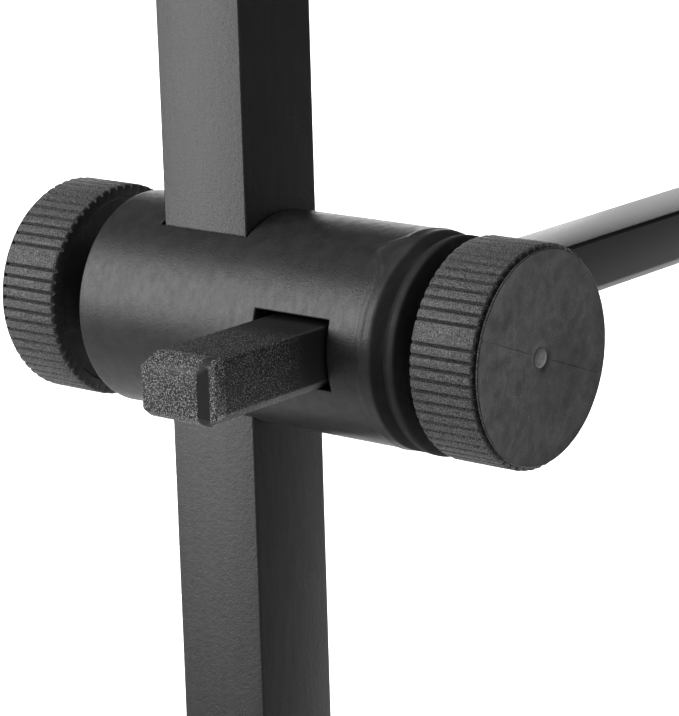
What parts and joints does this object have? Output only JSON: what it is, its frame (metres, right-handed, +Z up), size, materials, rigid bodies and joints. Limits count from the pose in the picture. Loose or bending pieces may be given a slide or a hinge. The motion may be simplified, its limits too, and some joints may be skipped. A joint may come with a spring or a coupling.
{
  "type": "music stand",
  "caption": "Floor-standing music stand: square post on a low forked base, round cross clamp with ribbed hand knobs, sliding reach arm and a tilting sheet desk with ledge and page clips.",
  "frame": {"origin": "on the floor, under the middle of the whole stand's box", "axes": "+Z up the post; +Y from the post towards the reader, along the reach arm; +X to the right when looking along +Y"},
  "size_m": [0.48, 0.5257, 1.2804],
  "materials": {
    "powder_coat": "black powder coat with fine orange peel",
    "satin_paint": "satin black paint over turned and welded steel",
    "arm_coat": "coarse matt black texture coat",
    "arm_cap_plastic": "coarse spark-textured black plastic",
    "knob_plastic": "fine-grained moulded black plastic",
    "black_plastic": "plain moulded black plastic",
    "nylon": "natural nylon",
    "rubber": "soft black rubber",
    "zinc_steel": "zinc-plated machined steel",
    "black_steel": "black oxide fastener steel"
  },
  "bodies": {
    "base": {"base_crossbar": "powder_coat", "crossbar_cap_left": "black_plastic", "crossbar_cap_right": "black_plastic", "base_leg_left": "powder_coat", "base_leg_right": "powder_coat", "leg_cap_left": "black_plastic", "leg_cap_right": "black_plastic", "foot_rear_left": "rubber", "foot_rear_right": "rubber", "foot_front_left": "rubber", "foot_front_right": "rubber", "post_socket": "powder_coat", "socket_screw_lower": "black_steel", "socket_screw_upper": "black_steel", "post_tube": "powder_coat", "post_top_cap": "black_plastic"},
    "clamp": {"clamp_housing": "satin_paint", "clamp_plate_left": "satin_paint", "clamp_plate_right": "satin_paint"},
    "post_shoe": {"post_shoe": "nylon"},
    "post_knob": {"post_knob": "knob_plastic", "post_stud": "zinc_steel"},
    "arm_shoe": {"arm_shoe": "nylon"},
    "arm_knob": {"arm_knob": "knob_plastic", "arm_stud": "zinc_steel"},
    "arm": {"arm_bar": "arm_coat", "arm_front_cap": "arm_cap_plastic", "arm_yoke": "powder_coat", "yoke_screw_front": "black_steel", "yoke_screw_rear": "black_steel", "tilt_bolt": "zinc_steel", "friction_washer_left": "nylon", "friction_washer_right": "nylon"},
    "tilt_washer": {"tilt_washer": "zinc_steel"},
    "tilt_knob": {"tilt_knob": "knob_plastic"},
    "desk": {"desk_panel": "powder_coat", "desk_bracket": "powder_coat", "bracket_screw_1": "black_steel", "bracket_screw_2": "black_steel", "bracket_screw_3": "black_steel", "bracket_screw_4": "black_steel", "music_ledge": "powder_coat", "ledge_rivet_1": "black_steel", "ledge_rivet_2": "black_steel", "ledge_rivet_3": "black_steel", "lip_trim": "rubber", "clip_lug_left": "powder_coat", "clip_lug_right": "powder_coat", "clip_pin_left": "zinc_steel", "clip_pin_right": "zinc_steel"},
    "page_clip_left": {"page_clip_left": "black_plastic"},
    "page_clip_right": {"page_clip_right": "black_plastic"}
  },
  "joints": [
    {"name": "clamp_height", "type": "slide", "parent": "base", "child": "clamp", "axis": [0, 0, 1], "range_m": [-0.45, 0.2]},
    {"name": "arm_reach", "type": "slide", "parent": "clamp", "child": "arm", "axis": [0, 1, 0], "range_m": [-0.2, 0.02]},
    {"name": "post_screw_travel", "type": "slide", "parent": "clamp", "child": "post_shoe", "axis": [-1, 0, 0], "range_m": [0, 0.0025]},
    {"name": "post_knob_turn", "type": "hinge", "parent": "post_shoe", "child": "post_knob", "pos_m": [-0.0275, -0.21446, 0.95], "axis": [-1, 0, 0], "range_deg": [0, 720]},
    {"name": "arm_screw_travel", "type": "slide", "parent": "clamp", "child": "arm_shoe", "axis": [1, 0, 0], "range_m": [0, 0.0025]},
    {"name": "arm_knob_turn", "type": "hinge", "parent": "arm_shoe", "child": "arm_knob", "pos_m": [-0.0275, -0.21446, 0.95], "axis": [1, 0, 0], "range_deg": [0, 720]},
    {"name": "desk_tilt", "type": "hinge", "parent": "arm", "child": "desk", "pos_m": [0, 0.17054, 1.015], "axis": [1, 0, 0], "range_deg": [-20, 45]},
    {"name": "tilt_screw_travel", "type": "slide", "parent": "arm", "child": "tilt_washer", "axis": [1, 0, 0], "range_m": [0, 0.0025]},
    {"name": "tilt_knob_turn", "type": "hinge", "parent": "tilt_washer", "child": "tilt_knob", "pos_m": [0, 0.17054, 1.015], "axis": [1, 0, 0], "range_deg": [0, 720]},
    {"name": "page_clip_left_open", "type": "hinge", "parent": "desk", "child": "page_clip_left", "pos_m": [0, 0.25174, 1.03135], "axis": [-1, 0, 0], "range_deg": [0, 110]},
    {"name": "page_clip_right_open", "type": "hinge", "parent": "desk", "child": "page_clip_right", "pos_m": [0, 0.25174, 1.03135], "axis": [-1, 0, 0], "range_deg": [0, 110]}
  ],
  "couplings": [
    {"joint": "post_knob_turn", "follows": "post_screw_travel", "rad_per_m": 5026.5},
    {"joint": "arm_knob_turn", "follows": "arm_screw_travel", "rad_per_m": 5026.5},
    {"joint": "tilt_knob_turn", "follows": "tilt_screw_travel", "rad_per_m": 5026.5}
  ]
}
